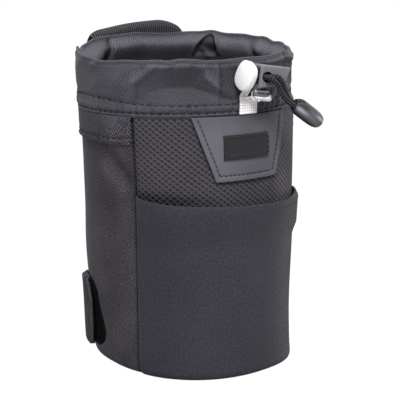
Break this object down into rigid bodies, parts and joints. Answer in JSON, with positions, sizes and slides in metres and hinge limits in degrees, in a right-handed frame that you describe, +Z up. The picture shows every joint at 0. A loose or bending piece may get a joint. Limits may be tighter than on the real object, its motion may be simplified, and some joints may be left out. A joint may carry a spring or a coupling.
{
  "type": "lens pouch",
  "caption": "Padded cylindrical belt pouch for a camera lens with a drawcord collar, sprung cord lock, stretch front pocket, mesh panel and webbing loops.",
  "frame": {"origin": "on the underside of the base panel, under the centre of the round front wall, where the pouch stands", "axes": "+Z up the pouch, +X to the right seen from the front, +Y to the flat back; the front with the pocket faces -Y"},
  "size_m": [0.116, 0.1252, 0.163],
  "materials": {
    "nylon_twill": "dark charcoal nylon twill with a fine diagonal rib",
    "collar_nylon": "thin dark charcoal coated nylon with a soft sheen",
    "air_mesh": "spacer mesh with a diamond pattern of holes",
    "stretch_knit": "matt fine stretch knit",
    "lining_cloth": "plain woven lining",
    "foam": "closed-cell foam padding",
    "coated_badge": "smooth satin coated panel with a raised border and a stitch line",
    "label_rubber": "dark moulded label, bare, with a stitched edge",
    "cord_braid": "black braided polyester cord",
    "dark_plastic": "dark grey moulded plastic, glossy",
    "white_plastic": "white moulded plastic, glossy",
    "spring_steel": "bright spring wire",
    "white_ribbon": "off-white grosgrain ribbon",
    "webbing": "black ribbed webbing",
    "hook_and_loop": "black hook and loop tape"
  },
  "bodies": {
    "pouch": {"base_panel": "nylon_twill", "base_foam": "foam", "base_lining": "lining_cloth", "wall_foam": "foam", "wall_lining": "lining_cloth", "front_mesh_panel": "air_mesh", "left_side_panel": "nylon_twill", "right_side_panel": "nylon_twill", "left_yoke_band": "nylon_twill", "right_yoke_band": "nylon_twill", "back_panel": "nylon_twill", "stretch_pocket": "stretch_knit", "badge_panel": "coated_badge", "label_patch": "label_rubber", "collar": "collar_nylon", "cord_exit_patch": "collar_nylon", "drawcord_run": "cord_braid", "anchor_ribbon": "white_ribbon", "strap_anchor": "webbing", "loop_patch": "hook_and_loop", "grab_loop": "webbing", "side_loop_left": "webbing", "side_loop_right": "webbing"},
    "cord_lock": {"lock_barrel": "dark_plastic", "lock_spring": "spring_steel", "drawcord_tail_left": "cord_braid", "drawcord_tail_right": "cord_braid", "cord_end": "dark_plastic"},
    "button": {"lock_button": "white_plastic"},
    "strap": {"belt_strap": "webbing", "hook_patch": "hook_and_loop"}
  },
  "joints": [
    {"name": "lock_tilt", "type": "hinge", "parent": "pouch", "child": "cord_lock", "pos_m": [0.00346, -0.0581, 0.13287], "axis": [0.9877, 0, -0.1564], "range_deg": [0, 40]},
    {"name": "button_press", "type": "slide", "parent": "cord_lock", "child": "button", "axis": [0.9877, 0, -0.1564], "range_m": [0, 0.0025], "stiffness_N_per_m": 600, "deforming": ["lock_spring"]},
    {"name": "strap_open", "type": "hinge", "parent": "pouch", "child": "strap", "pos_m": [0, 0.0478, 0.118], "axis": [1, 0, 0], "range_deg": [0, 95]}
  ]
}
